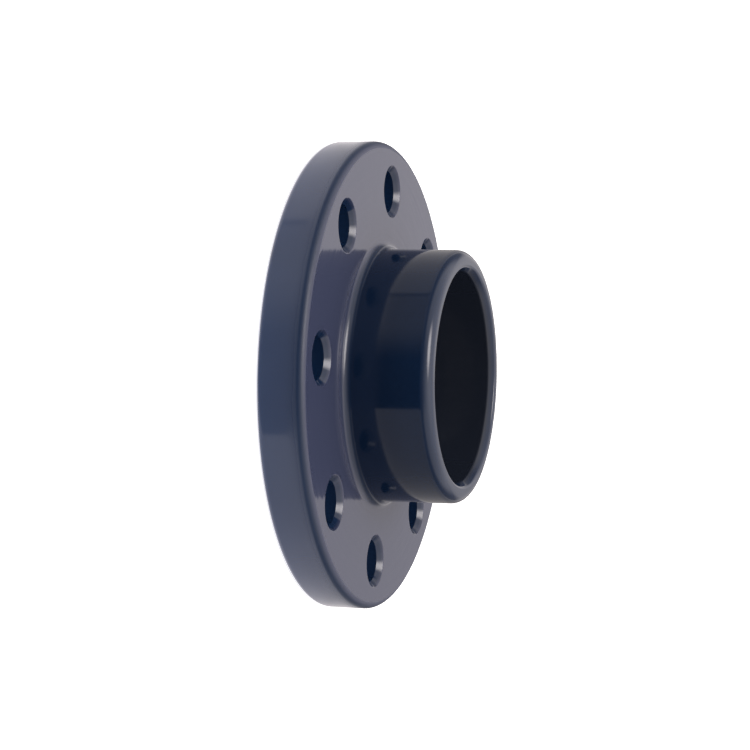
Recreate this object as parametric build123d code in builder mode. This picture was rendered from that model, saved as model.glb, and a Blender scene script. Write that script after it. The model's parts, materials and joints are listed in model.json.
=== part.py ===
from build123d import *
import os

# Socket flange for plastic pipe: a flat disc with bolt holes and a plain socket hub, moulded in one piece.
# Millimetres. The mating face lies on z = 0, the origin is at its centre, and +Z runs along the socket
# towards its mouth.

# Socket that the pipe is cemented into
socket_diameter = 90.0
socket_depth = 51.0

# Sloped lead-in at the mouth of the socket, with softened corners
lead_in_depth = 3.0
lead_in_width = 2.0
lead_in_round = 1.5

# Ring at the bottom of the socket, which the pipe's end stops against
stop_thickness = 6.2
stop_step = 5.0

# Hub around the socket, slightly wider at its foot so that it leaves the mould
hub_wall = 9.1
hub_taper = 0.25
hub_foot_round = 4.0
mouth_round = 5.0

# Flange disc
flange_thickness = 20.0
front_rim_round = 3.2
back_rim_round = 2.7
bolt_line_to_rim = 20.5

# Bolt holes
bolt_count = 8
bolt_hole_diameter = 18.0
bolt_hole_chamfer = 2.4
hub_to_bolt_line = 25.65

# Softened edge where a hole's chamfer meets the disc
hole_edge_round = 0.5

# Sizes that follow from the ones above
overall_height = stop_thickness + socket_depth
socket_radius = socket_diameter / 2
waterway_radius = socket_radius - stop_step
hub_mouth_radius = socket_radius + hub_wall
hub_foot_radius = hub_mouth_radius + hub_taper
bolt_circle_radius = hub_foot_radius + hub_to_bolt_line
flange_radius = bolt_circle_radius + bolt_line_to_rim
bolt_hole_radius = bolt_hole_diameter / 2
half_pitch = 180 / bolt_count

with BuildPart() as socket_flange:
    # Half section of disc, hub and socket, to the right of the pipe's axis
    with BuildSketch(Plane.XZ) as section:
        with BuildLine():
            Polyline(
                (waterway_radius, 0),
                (flange_radius, 0),
                (flange_radius, flange_thickness),
                (hub_foot_radius, flange_thickness),
                (hub_mouth_radius, overall_height),
                (socket_radius + lead_in_width, overall_height),
                (socket_radius, overall_height - lead_in_depth),
                (socket_radius, stop_thickness),
                (waterway_radius, stop_thickness),
                close=True,
            )
        make_face()

        # Rim, foot, mouth and lead-in are rounded, each corner found by its place
        for corner, radius in (
            ((flange_radius, 0), back_rim_round),
            ((flange_radius, flange_thickness), front_rim_round),
            ((hub_foot_radius, flange_thickness), hub_foot_round),
            ((hub_mouth_radius, overall_height), mouth_round),
            ((socket_radius + lead_in_width, overall_height), lead_in_round),
            ((socket_radius, overall_height - lead_in_depth), lead_in_round),
        ):
            fillet(section.vertices().sort_by_distance(corner)[0], radius)
    revolve(axis=Axis.Z)

    # Bolt holes straddle the centre lines, with a chamfer on the nuts' side
    with Locations(Plane.XY.offset(flange_thickness)):
        with PolarLocations(bolt_circle_radius, bolt_count, start_angle=half_pitch):
            CounterSinkHole(
                radius=bolt_hole_radius,
                counter_sink_radius=bolt_hole_radius + bolt_hole_chamfer,
                depth=flange_thickness,
                counter_sink_angle=90,
            )
    hole_mouths = (
        socket_flange.edges()
        .filter_by(GeomType.CIRCLE)
        .filter_by_position(Axis.Z, flange_thickness, flange_thickness)
        .group_by(SortBy.RADIUS)[0]
    )
    fillet(hole_mouths, hole_edge_round)

socket_flange.part.label = "socket_flange"

os.makedirs("parts", exist_ok=True)
export_step(socket_flange.part, "parts/socket_flange.step")
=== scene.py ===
import json
import math

import bmesh
import bpy
from bpy.props import FloatProperty, FloatVectorProperty, IntProperty, PointerProperty
from bpy.types import Operator, Panel, PropertyGroup
from mathutils import Matrix, Vector


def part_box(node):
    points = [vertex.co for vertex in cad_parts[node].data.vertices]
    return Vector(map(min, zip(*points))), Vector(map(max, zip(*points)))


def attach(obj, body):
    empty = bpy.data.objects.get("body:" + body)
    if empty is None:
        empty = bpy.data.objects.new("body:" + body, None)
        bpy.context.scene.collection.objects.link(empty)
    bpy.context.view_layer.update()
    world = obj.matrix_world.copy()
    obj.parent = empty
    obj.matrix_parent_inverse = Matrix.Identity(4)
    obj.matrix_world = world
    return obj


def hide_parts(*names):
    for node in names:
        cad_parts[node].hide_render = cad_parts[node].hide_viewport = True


bl_info = {
    "name": "Socket Flange",
    "version": (1, 0, 0),
    "blender": (4, 5, 0),
    "location": "3D View > Sidebar > Flange",
    "description": "Models a moulded plastic socket flange and the pale studio that it lies in",
    "category": "Object",
}

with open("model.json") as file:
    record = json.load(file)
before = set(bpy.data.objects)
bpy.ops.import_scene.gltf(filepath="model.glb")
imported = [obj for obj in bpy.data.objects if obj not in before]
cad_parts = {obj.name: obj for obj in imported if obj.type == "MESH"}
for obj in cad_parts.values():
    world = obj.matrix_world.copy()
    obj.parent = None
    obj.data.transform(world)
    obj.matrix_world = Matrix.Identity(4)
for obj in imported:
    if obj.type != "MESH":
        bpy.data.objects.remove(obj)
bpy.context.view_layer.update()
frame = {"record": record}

NODE = "socket_flange"
BODY = "root"
PIECE = "moulded_flange"
SKIN = "flange_plastic"
MM = 0.001
UP = Vector((0, 0, 1))
FULL_TURN = 2 * math.pi

MOUNTS = {mount["name"]: mount for mount in frame["record"]["mounts"]}
BOLTS = MOUNTS["flange_bolts"]["dims"]
SOCKET = MOUNTS["pipe_socket"]["dims"]
LOW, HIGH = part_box(NODE)
RIM_RADIUS = min(HIGH.x, HIGH.y, -LOW.x, -LOW.y)

# Two points closer than this are one point, and a point this near a ring lies on it
MERGE = 1e-6
ON_RING = 1e-5

# A flat collar beside a rounding is this many times as wide as the rounding
COLLAR = 1.4

# Light of the room by direction, in degrees. Azimuth 0 is the camera's side, and a positive azimuth shows
# lower in the picture. Each band goes from nothing at its first azimuth to full strength at its second.
LOWER_BOX = (28.5, 30.5, 0.9)
UPPER_BOX = (-12, -48, 0.75)
UPPER_BOX_BACK = (-78, -82, 0.4)
SEAM_START = (-75, -77, 0.4)
SEAM_END = (-80, -78, 1)
LOWER_SIDE = (20, 45, 0.55)
UPPER_SIDE = (-12, -60, 0.75)
BACK_WALL = (150, 165, 0.52)
BACK_WALL_UPPER = (-150, -165, 0.22)

# The same by height: first and second elevation, and what the light goes from and to between them
HORIZON = (-4, 6, 0, 1)
SIDES_START = (16, 32, 0.15, 1)
SIDES_END = (62, 24, 0, 1)
CEILING = (10, 92, 0.06, 1)
LAMP_PLACE = (-50, 70)
LAMP_GLOW = (20, 4, 0, 1)
ROOM_TINT = (1, 0.94, 0.93, 1)

# The floor as the part sees it. It changes between two distances from the axis, in radii of the flange, and
# each pair of NEAR and FAR is its strength at the first and at the second of them.
FADE_START, FADE_END = 1.35, 1.7
BOUNCE_NEAR, BOUNCE_FAR = 2.3, 0.3
BOUNCE_IN_SOCKET = 0.15
MIRRORED_NEAR, MIRRORED_FAR = 0.78, 0.45
GLOW_NEAR, GLOW_FAR = 0.74, 0
GLOW_TINT = (1, 0.96, 1.12, 1)

# The glow is full in front of GLOW_FRONT, in radii of the flange, and weak behind GLOW_BACK
GLOW_FRONT, GLOW_BACK = -0.7, -0.1
GLOW_BEHIND = 0.2

# A noise hardly leaves this middle part of its range
NOISE_LOW, NOISE_HIGH = 0.3, 0.7

# Camera, in millimetres and metres
SENSOR_WIDTH = 36
CLIP_START, CLIP_END = 0.01, 100


def length(name, description, default):
    """A length in metres that shows in the scene's own unit."""
    return FloatProperty(name=name, description=description, default=default, min=0, unit="LENGTH")


def number(name, description, default):
    """A plain number from nothing up."""
    return FloatProperty(name=name, description=description, default=default, min=0)


def count(name, description, default):
    """A number of holes or facets."""
    return IntProperty(name=name, description=description, default=default, min=1)


def angle(name, description, degrees):
    """An angle that is given in degrees here and shows in the scene's own unit."""
    return FloatProperty(
        name=name, description=description, default=math.radians(degrees), subtype="ANGLE", unit="ROTATION",
    )


def colour(name, description, default):
    """A colour, in linear light."""
    return FloatVectorProperty(
        name=name, description=description, default=default, size=3, min=0, max=1, subtype="COLOR",
    )


class FlangeSizes(PropertyGroup):
    """Sizes of the moulding"""

    flange_radius: length("Flange radius", "From the axis to the rim", RIM_RADIUS)
    flange_thickness: length("Flange thickness", "Thickness of the disc", 20 * MM)
    height: length("Height", "From the mating face to the mouth of the socket", HIGH.z)
    socket_radius: length("Socket radius", "Radius of the hole that takes the pipe", SOCKET["r_mm"] * MM)
    stop_thickness: length("Stop thickness", "Height of the ring that the pipe ends on", 6.2 * MM)
    stop_step: length("Stop step", "How far the stop ring stands into the socket", 5 * MM)
    waterway_collar: length("Waterway collar", "Width of the even ring of faces round the waterway", 4 * MM)
    hub_wall: length("Hub wall", "Wall of the hub at its mouth", 9.1 * MM)
    hub_taper: length("Hub taper", "How much wider the hub is at its foot", 0.25 * MM)
    foot_round: length("Foot round", "Fillet between hub and disc", 4 * MM)
    mouth_round: length("Mouth round", "Rounding of the hub's outer edge", 5 * MM)
    front_rim_round: length("Front rim round", "Rounding of the rim on the hub's side", 3.2 * MM)
    back_rim_round: length("Back rim round", "Rounding of the rim at the mating face", 2.7 * MM)
    lead_in_depth: length("Lead-in depth", "How deep the sloped lead-in of the socket goes", 3 * MM)
    lead_in_width: length("Lead-in width", "How much wider than the socket the lead-in opens", 2 * MM)
    lead_in_round: length("Lead-in round", "Rounding of the two corners of the lead-in", 1.5 * MM)
    bolt_circle: length("Bolt circle radius", "From the axis to a bolt hole", BOLTS["pcd_mm"] / 2 * MM)
    hole_radius: length("Hole radius", "Radius of a bolt hole", BOLTS["hole_r_mm"] * MM)
    hole_chamfer: length("Hole chamfer", "Chamfer of a bolt hole on the nut's side", 2.4 * MM)
    hole_edge_round: length("Hole edge round", "Rounding where a hole's chamfer meets the disc", 0.5 * MM)
    hole_collar: length("Hole collar", "Width of the even ring of faces round a bolt hole", 1 * MM)
    soft_edge: length("Soft edge", "Faint rounding that the mould leaves on a sharp edge", 0.15 * MM)
    hole_count: count("Bolt holes", "Holes in the disc", BOLTS["count"])
    ring_steps: count("Steps per hole", "Facets of a ring for each hole", 40)
    side_steps: count("Side steps", "Facets along the side of a drilled sector", 16)
    round_steps: count("Round steps", "Facets across a rounding", 10)
    hole_edge_steps: count("Hole edge steps", "Facets across the rounding of a hole's edge", 4)
    fine_steps: count("Fine steps", "Facets across a faint rounding", 3)
    blunt_steps: count("Blunt steps", "Facets across a faint rounding of a blunt corner", 2)
    smooth_angle: angle("Smooth angle", "An edge that turns more than this stays crisp", 30)


class FlangeFinish(PropertyGroup):
    """Colour and surface of the plastic"""

    plastic: colour("Plastic", "Dark blue-grey of the plastic", (0.0055, 0.0172, 0.049))
    streak: colour("Flow streak", "Slightly paler plastic in the flow marks", (0.0085, 0.0212, 0.055))
    streak_size: length("Streak size", "Width of the flow marks", 30 * MM)
    # Painted sheen: the flange's face is painted paler to stand in for the overhead light on it
    painted_face_sheen: colour("Painted face sheen", "Paler skin of the flange's face", (0.041, 0.049, 0.09))
    # Painted sheen: the socket wall is painted greyer to stand in for the dull light reflected inside the
    # socket
    painted_socket_sheen: colour("Socket", "Greyer skin inside the socket", (0.017, 0.022, 0.035))
    skin_edge: length("Skin edge", "Width over which one of these skins passes into the next", 1.2 * MM)
    gloss_roughness: number("Roughness", "Roughness of the gloss", 0.07)
    roughness_spread: number("Roughness spread", "How much the roughness varies", 0.04)
    smear_size: length("Smear size", "Width of the patches of duller and shinier skin", 12 * MM)
    worn_roughness: number("Worn edge", "Roughness added on the front edge of the rim", 0.38)
    worn_height: length("Worn height", "Height of the worn band below the flange's face", 8 * MM)
    worn_start: length("Worn start", "Width over which the wear sets in beside the flat face", 0.5 * MM)
    refraction: number("IOR", "Refractive index of the plastic", 1.5)
    grain_size: length("Grain size", "Width of the fine grain of the moulded skin", 0.9 * MM)
    grain_depth: length("Grain depth", "Depth of the fine grain", 0.0006 * MM)
    wave_size: length("Wave size", "Width of the shallow waves of the skin", 14 * MM)
    wave_depth: length("Wave depth", "Depth of the shallow waves", 0.05 * MM)
    ripple_size: length("Ripple size", "Width of the ripples that run round the flange's face", 5 * MM)
    ripple_depth: length("Ripple depth", "Depth of those ripples", 0.06 * MM)
    ripple_change: number("Ripple change", "How fast a ripple changes along its ring", 0.12)


class FlangeStage(PropertyGroup):
    """Camera, floor and light"""

    view_azimuth: angle("View azimuth", "Camera's turn round the axis", -18.03)
    view_elevation: angle("View elevation", "Camera's height over the floor", 18.28)
    view_roll: angle("View roll", "Turn of the camera about its own axis", 91.26)
    view_distance: length("View distance", "From the camera to the point that it aims at", 0.914)
    aim_height: length("Aim height", "Height of the point on the axis that the camera aims at", 0.01601)
    lens: number("Lens", "Focal length in millimetres", 101.5)
    floor_size: length("Floor size", "Width of the floor", 40)
    floor_gap: length("Floor gap", "Hair's breadth between the floor and the mating face", 0.02 * MM)
    floor_colour: colour("Floor", "Colour of the floor", (0.85, 0.85, 0.85))
    floor_brightness: number("Floor brightness", "Light that the pale floor gives off", 0.75)
    backdrop_brightness: number("Backdrop brightness", "Light of the white backdrop in the picture", 1)
    ceiling_brightness: number("Ceiling brightness", "Light of the ceiling right overhead", 2)
    lamp_brightness: number("Lamp brightness", "Light of the round soft lamp over the part", 7.5)


def deselect_all():
    """Leaves nothing selected, so that the next operator acts only on what it is meant for."""
    if bpy.context.object and bpy.context.object.mode != "OBJECT":
        bpy.ops.object.mode_set(mode="OBJECT")
    bpy.ops.object.select_all(action="DESELECT")


def select_edges(test):
    """Selects each edge whose two ends both pass the test, and nothing else."""
    bpy.ops.mesh.select_mode(type="EDGE")
    bpy.ops.mesh.select_all(action="DESELECT")
    mesh = bpy.context.object.data
    body = bmesh.from_edit_mesh(mesh)
    found = 0
    for edge in body.edges:
        edge.select = all(test(point.co) for point in edge.verts)
        found += edge.select
    body.select_flush_mode()
    bmesh.update_edit_mesh(mesh)
    if not found:
        raise RuntimeError("no edge of the moulding is where it was looked for")


def ring_test(radius, height, centre=Vector((0, 0))):
    """True for a point on the ring of that radius and height."""

    def on_ring(point):
        off_axis = (point.xy - centre).length
        return abs(off_axis - radius) < ON_RING and abs(point.z - height) < ON_RING

    return on_ring


def draw_ring(profile, centre=(0, 0)):
    """Extrudes the selected ring along a profile of (radius, height), scaled about its own axis."""
    for (radius, height), (next_radius, next_height) in zip(profile, profile[1:]):
        scale = next_radius / radius
        bpy.ops.mesh.extrude_edges_move()
        bpy.ops.transform.resize(value=(scale, scale, 1), center_override=(*centre, height))
        bpy.ops.transform.translate(value=(0, 0, next_height - height))


def add_ring(steps, radius, height, centre=(0, 0)):
    """Adds an open ring in edit mode and leaves it selected."""
    bpy.ops.mesh.select_all(action="DESELECT")
    bpy.ops.mesh.primitive_circle_add(vertices=steps, radius=radius, location=(*centre, height))


def round_ring(radius, height, rounding, steps, turn=math.pi / 2, centre=(0, 0)):
    """Rounds one ring with an arc. turn is the angle that the surface turns through there."""
    select_edges(ring_test(radius, height, Vector(centre)))
    bpy.ops.mesh.bevel(
        offset_type="OFFSET", offset=rounding * math.tan(turn / 2), segments=steps, profile=0.5,
        clamp_overlap=False,
    )


def sector_angle(sizes):
    """Angle from one bolt hole to the next."""
    return FULL_TURN / sizes.hole_count


def hole_centre(sizes):
    """Middle of the first bolt hole, half a pitch round from X."""
    turn = sector_angle(sizes) / 2
    return sizes.bolt_circle * math.cos(turn), sizes.bolt_circle * math.sin(turn)


def add_sector_outline(sizes, inner, outer, height):
    """Outline of one drilled sector: two arcs and two straight sides."""
    pitch = sector_angle(sizes)
    add_ring(sizes.hole_count * sizes.ring_steps, inner, height)
    draw_ring([(inner, height), (outer, height)])
    mesh = bpy.context.object.data
    body = bmesh.from_edit_mesh(mesh)

    def turn(point):
        """Angle round the axis, from X."""
        way = math.atan2(point.y, point.x)
        return way if way > -ON_RING else way + FULL_TURN

    def fresh(point):
        """True for a point of the two rings that were just drawn."""
        flat = abs(point.z - height) < ON_RING
        off_axis = point.xy.length
        return flat and min(abs(off_axis - inner), abs(off_axis - outer)) < ON_RING

    # Of the full rings only the first sector stays
    bpy.ops.mesh.select_all(action="DESELECT")
    bpy.ops.mesh.select_mode(type="VERT")
    for point in body.verts:
        point.select = fresh(point.co) and turn(point.co) > pitch + ON_RING
    bmesh.update_edit_mesh(mesh)
    bpy.ops.mesh.delete(type="VERT")

    # Its faces go, and so do the edges between the arcs, apart from the two sides
    body = bmesh.from_edit_mesh(mesh)
    bpy.ops.mesh.select_mode(type="FACE")
    for face in body.faces:
        face.select = all(fresh(point.co) for point in face.verts)
    bmesh.update_edit_mesh(mesh)
    bpy.ops.mesh.delete(type="ONLY_FACE")

    def is_spoke(edge):
        first, second = (point.co for point in edge.verts)
        return fresh(first) and fresh(second) and abs(first.xy.length - second.xy.length) > ON_RING

    def on_side(edge):
        way = turn(edge.verts[0].co)
        return min(abs(way), abs(way - pitch)) < ON_RING

    body = bmesh.from_edit_mesh(mesh)
    bpy.ops.mesh.select_mode(type="EDGE")
    for edge in body.edges:
        edge.select = is_spoke(edge) and not on_side(edge)
    bmesh.update_edit_mesh(mesh)
    bpy.ops.mesh.delete(type="EDGE")

    body = bmesh.from_edit_mesh(mesh)
    for edge in body.edges:
        edge.select = is_spoke(edge)
    bmesh.update_edit_mesh(mesh)
    bpy.ops.mesh.subdivide(number_cuts=sizes.side_steps - 1)


def bridge_sector(sizes, collar, height):
    """Fills the sector's flat face, from its outline to a collar of as many points round the hole."""
    add_ring(2 * (sizes.ring_steps + sizes.side_steps), collar, height, hole_centre(sizes))
    select_edges(lambda point: abs(point.z - height) < ON_RING)
    bpy.ops.mesh.bridge_edge_loops(number_cuts=0)
    bpy.ops.mesh.normals_make_consistent(inside=height == 0)

    body = bmesh.from_edit_mesh(bpy.context.object.data)
    ways = {face.normal.z > 0 for face in body.faces if face.select}
    if len(ways) != 1:
        raise RuntimeError("the flat face round a bolt hole is missing or twisted")


def mould_drilled_sectors(sizes, front, back):
    """One sector of the disc with its bolt hole, copied round the axis.

    front and back are the inner and outer radius of the flat face on that side.
    """
    top = sizes.flange_thickness
    centre = hole_centre(sizes)
    radius = sizes.hole_radius
    mouth = radius + sizes.hole_chamfer
    collar = mouth + sizes.hole_collar

    for height, outline in ((top, front), (0, back)):
        add_sector_outline(sizes, *outline, height)
        bridge_sector(sizes, collar, height)
    select_edges(ring_test(collar, top, Vector(centre)))
    draw_ring(
        [(collar, top), (mouth, top), (radius, top - sizes.hole_chamfer), (radius, 0), (collar, 0)],
        centre,
    )
    bpy.ops.mesh.select_all(action="SELECT")
    bpy.ops.mesh.remove_doubles(threshold=MERGE)

    chamfer_turn = math.pi / 4
    round_ring(mouth, top, sizes.hole_edge_round, sizes.hole_edge_steps, chamfer_turn, centre)
    round_ring(radius, top - sizes.hole_chamfer, sizes.soft_edge, sizes.blunt_steps, chamfer_turn, centre)
    round_ring(radius, 0, sizes.soft_edge, sizes.fine_steps, centre=centre)

    bpy.ops.mesh.select_all(action="SELECT")
    copies = sizes.hole_count - 1
    bpy.ops.mesh.spin(
        steps=copies, angle=sector_angle(sizes) * copies, dupli=True, center=(0, 0, 0), axis=UP,
    )


def mould_flange(sizes):
    """Disc, hub and socket as one closed skin."""
    top, height = sizes.flange_thickness, sizes.height
    mouth = sizes.socket_radius + sizes.hub_wall
    foot = mouth + sizes.hub_taper
    socket = sizes.socket_radius
    stop = sizes.stop_thickness
    waterway = socket - sizes.stop_step
    lead_in = socket + sizes.lead_in_width
    lead_in_end = height - sizes.lead_in_depth
    rim = sizes.flange_radius
    steps = sizes.hole_count * sizes.ring_steps

    # Flat collars keep each rounding clear of the drilled sectors
    foot_collar = foot + sizes.foot_round * COLLAR
    front_collar = rim - sizes.front_rim_round * COLLAR
    back_collar = rim - sizes.back_rim_round * COLLAR
    waterway_collar = waterway + sizes.waterway_collar

    deselect_all()
    bpy.ops.mesh.primitive_circle_add(vertices=steps, radius=foot_collar, location=(0, 0, top))
    piece = bpy.context.object
    piece.name = PIECE
    piece.data.name = PIECE
    bpy.ops.object.transform_apply(location=True, rotation=True, scale=True)
    bpy.ops.object.mode_set(mode="EDIT")
    bpy.ops.mesh.select_all(action="SELECT")
    draw_ring([
        (foot_collar, top), (foot, top), (mouth, height), (lead_in, height), (socket, lead_in_end),
        (socket, stop), (waterway, stop), (waterway, 0), (waterway_collar, 0),
    ])
    add_ring(steps, back_collar, 0)
    draw_ring([(back_collar, 0), (rim, 0), (rim, top), (front_collar, top)])

    bpy.ops.mesh.select_all(action="SELECT")
    bpy.ops.mesh.hide()
    mould_drilled_sectors(sizes, (foot_collar, front_collar), (waterway_collar, back_collar))
    bpy.ops.mesh.reveal()
    bpy.ops.mesh.select_all(action="SELECT")
    bpy.ops.mesh.remove_doubles(threshold=MERGE)

    round_ring(foot, top, sizes.foot_round, sizes.round_steps)
    round_ring(mouth, height, sizes.mouth_round, sizes.round_steps)
    round_ring(rim, top, sizes.front_rim_round, sizes.round_steps)
    round_ring(rim, 0, sizes.back_rim_round, sizes.round_steps)
    slope = math.atan2(sizes.lead_in_width, sizes.lead_in_depth)
    round_ring(lead_in, height, sizes.lead_in_round, sizes.round_steps, math.pi / 2 - slope)
    round_ring(socket, lead_in_end, sizes.lead_in_round, sizes.round_steps, slope)
    round_ring(waterway, stop, sizes.soft_edge, sizes.fine_steps)
    round_ring(waterway, 0, sizes.soft_edge, sizes.fine_steps)

    bpy.ops.mesh.select_all(action="SELECT")
    bpy.ops.mesh.normals_make_consistent(inside=False)
    bpy.ops.object.mode_set(mode="OBJECT")
    return piece


def check_skin(piece):
    """Stops the script if the moulding isn't one closed skin whose faces all point outwards."""
    body = bmesh.new()
    body.from_mesh(piece.data)
    faults = sum(not (edge.is_manifold and edge.is_contiguous) for edge in body.edges)
    volume = body.calc_volume(signed=True)
    body.free()
    if faults or volume <= 0:
        raise RuntimeError(f"the moulding has {faults} faulty edges and a volume of {volume}")


def smooth_skin(piece):
    """Smooth shading that keeps flat faces flat and chamfers crisp."""
    deselect_all()
    piece.select_set(True)
    bpy.context.view_layer.objects.active = piece
    bpy.ops.object.shade_smooth_by_angle(angle=bpy.context.scene.flange_sizes.smooth_angle)
    normals = piece.modifiers.new("Flat faces stay flat", "WEIGHTED_NORMAL")
    normals.mode = "FACE_AREA"
    normals.keep_sharp = True
    bpy.ops.object.modifier_apply(modifier=normals.name)


class Nodes:
    """Adds nodes to one node tree. A value is a number, a vector or the socket of an earlier node."""

    def __init__(self, tree):
        self.tree = tree

    def add(self, kind, inputs=(), **settings):
        """Adds a node with its settings, and feeds its inputs, given by name or number."""
        node = self.tree.nodes.new(kind)
        for name, value in settings.items():
            setattr(node, name, value)
        for name, value in dict(inputs).items():
            self.feed(node.inputs[name], value)
        return node

    def feed(self, socket, value):
        """Links an earlier node's socket, or sets a plain value."""
        if isinstance(value, bpy.types.NodeSocket):
            self.tree.links.new(value, socket)
        else:
            socket.default_value = value

    def place(self, coordinates):
        return self.add("ShaderNodeTexCoord").outputs[coordinates]

    def split(self, vector):
        return self.add("ShaderNodeSeparateXYZ", {"Vector": vector}).outputs

    def turned(self, vector, turn):
        """The vector, turned back by an angle about Z."""
        inputs = {"Vector": vector, "Angle": -turn}
        return self.add("ShaderNodeVectorRotate", inputs, rotation_type="Z_AXIS").outputs["Vector"]

    def maths(self, operation, *values):
        return self.add("ShaderNodeMath", enumerate(values), operation=operation).outputs["Value"]

    def vector_maths(self, operation, *values, result="Vector"):
        return self.add("ShaderNodeVectorMath", enumerate(values), operation=operation).outputs[result]

    def product(self, first, *others):
        """Multiplies them one after the other."""
        for other in others:
            first = self.maths("MULTIPLY", first, other)
        return first

    def total(self, first, *others):
        """Adds them one after the other."""
        for other in others:
            first = self.maths("ADD", first, other)
        return first

    def ramp(self, value, start, end, low, high, interpolation="SMOOTHSTEP"):
        """Goes from low to high while the value goes from start to end."""
        ends = {"Value": value, "From Min": start, "From Max": end, "To Min": low, "To Max": high}
        return self.add("ShaderNodeMapRange", ends, interpolation_type=interpolation).outputs["Result"]

    def mix_colours(self, factor, first, second):
        inputs = {"Factor": factor, "A": first, "B": second}
        return self.add("ShaderNodeMix", inputs, data_type="RGBA").outputs["Result"]

    def mix_shaders(self, factor, first, second):
        return self.add("ShaderNodeMixShader", {"Fac": factor, 1: first, 2: second}).outputs["Shader"]

    def add_shaders(self, first, second):
        return self.add("ShaderNodeAddShader", {0: first, 1: second}).outputs["Shader"]

    def bumps(self, *layers):
        """Lays bumps on each other, each a pair of (height, depth)."""
        normal = None
        for height, depth in layers:
            inputs = {"Height": height, "Distance": depth}
            if normal:
                inputs["Normal"] = normal
            normal = self.add("ShaderNodeBump", inputs).outputs["Normal"]
        return normal


def plastic_skin(finish, sizes):
    """Glossy dark blue-grey pipe plastic with a fine grain, shallow waves and faint flow marks."""
    material = bpy.data.materials.new(SKIN)
    material.use_nodes = True
    nodes = Nodes(material.node_tree)
    place = nodes.place("Object")
    height = nodes.split(place)["Z"]

    def noise(size, detail, where=place):
        inputs = {"Vector": where, "Scale": 1 / size, "Detail": detail}
        return nodes.add("ShaderNodeTexNoise", inputs).outputs["Fac"]

    def spread(value, low, high):
        """Stretches a noise so that it goes from low to high."""
        return nodes.ramp(value, NOISE_LOW, NOISE_HIGH, low, high, "LINEAR")

    # Ripples run round the axis: they change quickly with the radius and slowly along the ring
    flat = nodes.vector_maths("MULTIPLY", place, (1, 1, 0))
    off_axis = nodes.vector_maths("LENGTH", flat, result="Value")
    along = nodes.vector_maths("MULTIPLY", flat, (finish.ripple_change, finish.ripple_change, 0))
    around = nodes.vector_maths("ADD", off_axis, along)

    # The face of the flange is painted a little paler: painted sheen that stands in for the overhead light
    # on the face
    off_face = nodes.maths("ABSOLUTE", nodes.maths("SUBTRACT", height, sizes.flange_thickness))
    on_face = nodes.ramp(off_face, 0, finish.skin_edge, 1, 0, "LINEAR")
    streaks = spread(noise(finish.streak_size, detail=4), 0, 1)
    body = nodes.mix_colours(streaks, (*finish.plastic, 1), (*finish.streak, 1))

    # Inside the socket the plastic is painted greyer: painted sheen that stands in for the dull light
    # reflected on the socket wall
    socket = sizes.socket_radius
    in_socket = nodes.ramp(off_axis, socket, socket + finish.skin_edge, 1, 0, "LINEAR")
    outer_skin = nodes.mix_colours(on_face, body, (*finish.painted_face_sheen, 1))
    skin = nodes.mix_colours(in_socket, outer_skin, (*finish.painted_socket_sheen, 1))

    # The front edge of the rim is worn, the more the nearer it is to the face
    top = sizes.flange_thickness
    wear = nodes.ramp(height, top - finish.worn_height, top, 0, finish.worn_roughness, "LINEAR")
    rim_start = sizes.flange_radius - sizes.front_rim_round
    on_rim = nodes.ramp(off_axis, rim_start, rim_start + finish.worn_start, 0, 1, "LINEAR")
    dullest = finish.gloss_roughness + finish.roughness_spread
    smears = spread(noise(finish.smear_size, detail=5), finish.gloss_roughness, dullest)

    shader = material.node_tree.nodes["Principled BSDF"].inputs
    shader["IOR"].default_value = finish.refraction
    nodes.feed(shader["Base Color"], skin)
    nodes.feed(shader["Roughness"], nodes.total(nodes.product(wear, on_rim), smears))
    nodes.feed(shader["Normal"], nodes.bumps(
        (noise(finish.wave_size, detail=1), finish.wave_depth),
        (noise(finish.ripple_size, detail=1, where=around), finish.ripple_depth),
        (noise(finish.grain_size, detail=2), finish.grain_depth),
    ))
    return material


class FLANGE_OT_mould(Operator):
    """Models the flange's disc, hub, socket and bolt holes as one moulding"""

    bl_idname = "flange.mould"
    bl_label = "Mould the flange"

    def execute(self, context):
        sizes = context.scene.flange_sizes
        piece = mould_flange(sizes)
        check_skin(piece)
        smooth_skin(piece)
        piece.data.materials.clear()
        piece.data.materials.append(plastic_skin(context.scene.flange_finish, sizes))
        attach(piece, BODY)
        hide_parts(NODE)
        return {"FINISHED"}


def toward(azimuth, elevation):
    """Unit vector to a place in the room, in degrees."""
    azimuth, elevation = math.radians(azimuth), math.radians(elevation)
    flat = math.cos(elevation)
    return math.sin(azimuth) * flat, -math.cos(azimuth) * flat, math.sin(elevation)


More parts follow.
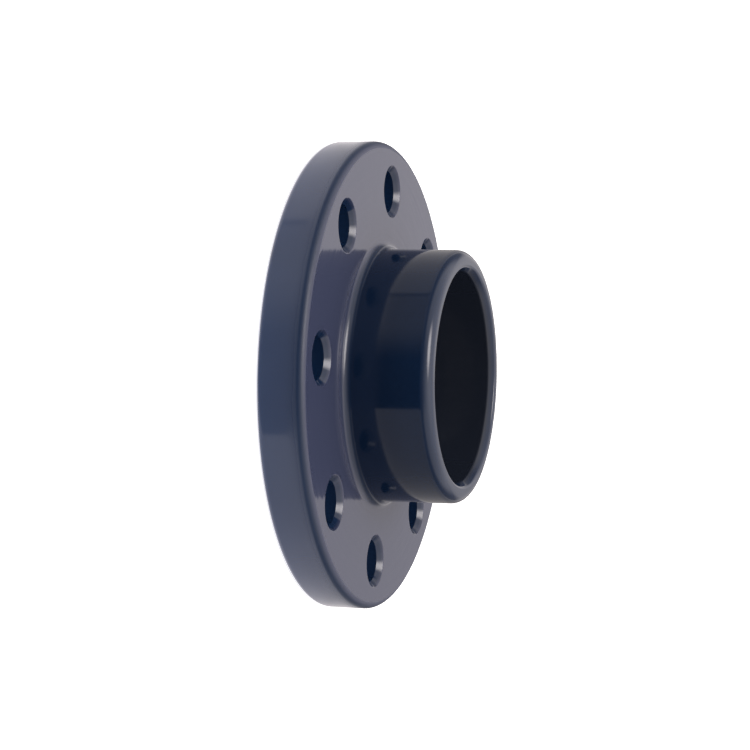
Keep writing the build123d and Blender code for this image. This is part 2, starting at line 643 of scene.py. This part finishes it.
def studio_light(stage):
    """A pale room in the background: soft boxes beside the camera, a lamp above and a pale wall behind."""
    world = bpy.data.worlds.new("studio_light")
    bpy.context.scene.world = world
    world.use_nodes = True
    world.node_tree.nodes.clear()
    nodes = Nodes(world.node_tree)

    # After this turn the camera stands on -Y
    way = nodes.turned(nodes.place("Generated"), stage.view_azimuth)
    x, y, z = nodes.split(way)
    azimuth = nodes.maths("ARCTAN2", x, nodes.maths("MULTIPLY", y, -1))
    elevation = nodes.maths("ARCSINE", z)
    lamp_cosine = nodes.vector_maths("DOT_PRODUCT", way, toward(*LAMP_PLACE), result="Value")
    off_lamp = nodes.maths("ARCCOSINE", lamp_cosine)

    def level(value, limits):
        """Goes from one strength to another between two angles in degrees."""
        start, end, low, high = limits
        return nodes.ramp(value, math.radians(start), math.radians(end), low, high)

    def band(value, limits):
        """Goes from nothing to a strength between two angles in degrees."""
        start, end, strength = limits
        return level(value, (start, end, 0, strength))

    above = level(elevation, HORIZON)
    below = nodes.maths("SUBTRACT", 1, above)

    # Soft boxes at both sides, a dark gap between them towards the camera, and a thin seam in the upper one
    seam = nodes.maths("SUBTRACT", 1, nodes.product(band(azimuth, SEAM_START), band(azimuth, SEAM_END)))
    upper_box = nodes.total(band(azimuth, UPPER_BOX), band(azimuth, UPPER_BOX_BACK))
    boxes = nodes.total(band(azimuth, LOWER_BOX), nodes.product(upper_box, seam))

    # Above the horizon the sides are softer, and the wall behind is brighter on the picture's upper side
    sides = nodes.total(band(azimuth, LOWER_SIDE), band(azimuth, UPPER_SIDE))
    wall = nodes.total(band(nodes.maths("ABSOLUTE", azimuth), BACK_WALL), band(azimuth, BACK_WALL_UPPER))
    walls = nodes.maths("MAXIMUM", nodes.product(sides, level(elevation, SIDES_START)), wall)
    ceiling = nodes.product(level(elevation, CEILING), stage.ceiling_brightness)
    room = nodes.product(above, nodes.total(nodes.product(walls, level(elevation, SIDES_END)), ceiling))
    lamp = nodes.product(level(off_lamp, LAMP_GLOW), stage.lamp_brightness)

    glow = nodes.total(nodes.product(below, boxes), room, lamp)
    lights = nodes.add("ShaderNodeBackground", {"Color": ROOM_TINT, "Strength": glow}).outputs["Background"]
    white = {"Color": (1, 1, 1, 1), "Strength": stage.backdrop_brightness}
    backdrop = nodes.add("ShaderNodeBackground", white).outputs["Background"]
    is_camera = nodes.add("ShaderNodeLightPath").outputs["Is Camera Ray"]
    nodes.add("ShaderNodeOutputWorld", {"Surface": nodes.mix_shaders(is_camera, lights, backdrop)})


def pale_floor(stage, sizes):
    """A plain pale floor. In the part's gloss only the stretch close to the rim shows."""
    deselect_all()
    bpy.ops.mesh.primitive_plane_add(size=stage.floor_size, location=(0, 0, -stage.floor_gap))
    floor = bpy.context.object
    floor.name = "floor"

    material = bpy.data.materials.new("pale_floor")
    material.use_nodes = True
    material.node_tree.nodes.clear()
    nodes = Nodes(material.node_tree)
    place = nodes.place("Object")
    off_axis = nodes.vector_maths("LENGTH", place, result="Value")
    ahead = nodes.split(nodes.turned(place, stage.view_azimuth))["Y"]
    radius = sizes.flange_radius

    def fade(near, far):
        """Falls off with the distance from the part."""
        return nodes.ramp(off_axis, radius * FADE_START, radius * FADE_END, near, far)

    def emission(strength, tint=(1, 1, 1, 1)):
        return nodes.add("ShaderNodeEmission", {"Color": tint, "Strength": strength}).outputs["Emission"]

    # What the camera sees
    matte = nodes.add("ShaderNodeBsdfDiffuse", {"Color": (*stage.floor_colour, 1)}).outputs["BSDF"]
    seen = nodes.add_shaders(matte, emission(stage.floor_brightness))

    # What lights the part. Little light reaches the floor inside the socket
    socket = sizes.socket_radius
    shade = nodes.ramp(off_axis, socket, socket + sizes.hub_wall, BOUNCE_IN_SOCKET, 1, "LINEAR")
    bounce = emission(nodes.product(shade, fade(BOUNCE_NEAR, BOUNCE_FAR)))

    # What the part mirrors: the room, and the floor's own glow in front of the rim
    front = nodes.ramp(ahead, radius * GLOW_FRONT, radius * GLOW_BACK, 1, GLOW_BEHIND, "LINEAR")
    glow = emission(nodes.product(front, fade(GLOW_NEAR, GLOW_FAR)), GLOW_TINT)
    mirrored = {"Color": fade(MIRRORED_NEAR, MIRRORED_FAR)}
    clear = nodes.add("ShaderNodeBsdfTransparent", mirrored).outputs["BSDF"]
    path = nodes.add("ShaderNodeLightPath").outputs
    unseen = nodes.mix_shaders(path["Is Glossy Ray"], bounce, nodes.add_shaders(clear, glow))

    # From below the floor is clear, so that the mating face shows
    back = nodes.add("ShaderNodeNewGeometry").outputs["Backfacing"]
    gone = nodes.add("ShaderNodeBsdfTransparent").outputs["BSDF"]
    surface = nodes.mix_shaders(back, nodes.mix_shaders(path["Is Camera Ray"], unseen, seen), gone)
    nodes.add("ShaderNodeOutputMaterial", {"Surface": surface})
    floor.data.materials.append(material)


def aim_camera(stage):
    """A long lens, rolled as in the photograph, so that the pipe's axis runs across the picture."""
    back = Vector(toward(math.degrees(stage.view_azimuth), math.degrees(stage.view_elevation)))
    aim = Vector((0, 0, stage.aim_height))
    level = (-back).to_track_quat("-Z", "Y").to_matrix()
    roll = Matrix.Rotation(stage.view_roll, 3, "Z")
    bpy.ops.object.camera_add(location=aim + back * stage.view_distance, rotation=(level @ roll).to_euler())
    camera = bpy.context.object
    camera.name = "camera"
    camera.data.lens = stage.lens
    camera.data.sensor_width = SENSOR_WIDTH
    camera.data.clip_start = CLIP_START
    camera.data.clip_end = CLIP_END
    bpy.context.scene.camera = camera


class FLANGE_OT_stage(Operator):
    """Sets the pale floor, the soft studio light and the camera"""

    bl_idname = "flange.stage"
    bl_label = "Set the stage"

    def execute(self, context):
        stage = context.scene.flange_stage
        pale_floor(stage, context.scene.flange_sizes)
        studio_light(stage)
        aim_camera(stage)
        context.scene.view_settings.view_transform = "Standard"
        return {"FINISHED"}


class FLANGE_PT_sidebar(Panel):
    """Lists the flange's operators and sizes"""

    bl_idname = "FLANGE_PT_sidebar"
    bl_label = "Socket Flange"
    bl_space_type = "VIEW_3D"
    bl_region_type = "UI"
    bl_category = "Flange"

    def draw(self, context):
        layout = self.layout
        layout.operator(FLANGE_OT_mould.bl_idname)
        layout.operator(FLANGE_OT_stage.bl_idname)
        for group in (context.scene.flange_sizes, context.scene.flange_finish, context.scene.flange_stage):
            box = layout.box()
            for name in group.__annotations__:
                box.prop(group, name)


GROUPS = {"flange_sizes": FlangeSizes, "flange_finish": FlangeFinish, "flange_stage": FlangeStage}
CLASSES = (*GROUPS.values(), FLANGE_OT_mould, FLANGE_OT_stage, FLANGE_PT_sidebar)


def register():
    for entry in CLASSES:
        bpy.utils.register_class(entry)
    for name, group in GROUPS.items():
        setattr(bpy.types.Scene, name, PointerProperty(type=group))


def unregister():
    for name in GROUPS:
        delattr(bpy.types.Scene, name)
    for entry in reversed(CLASSES):
        bpy.utils.unregister_class(entry)


def main():
    register()
    bpy.ops.flange.mould()
    bpy.ops.flange.stage()


if __name__ == "__main__":
    main()
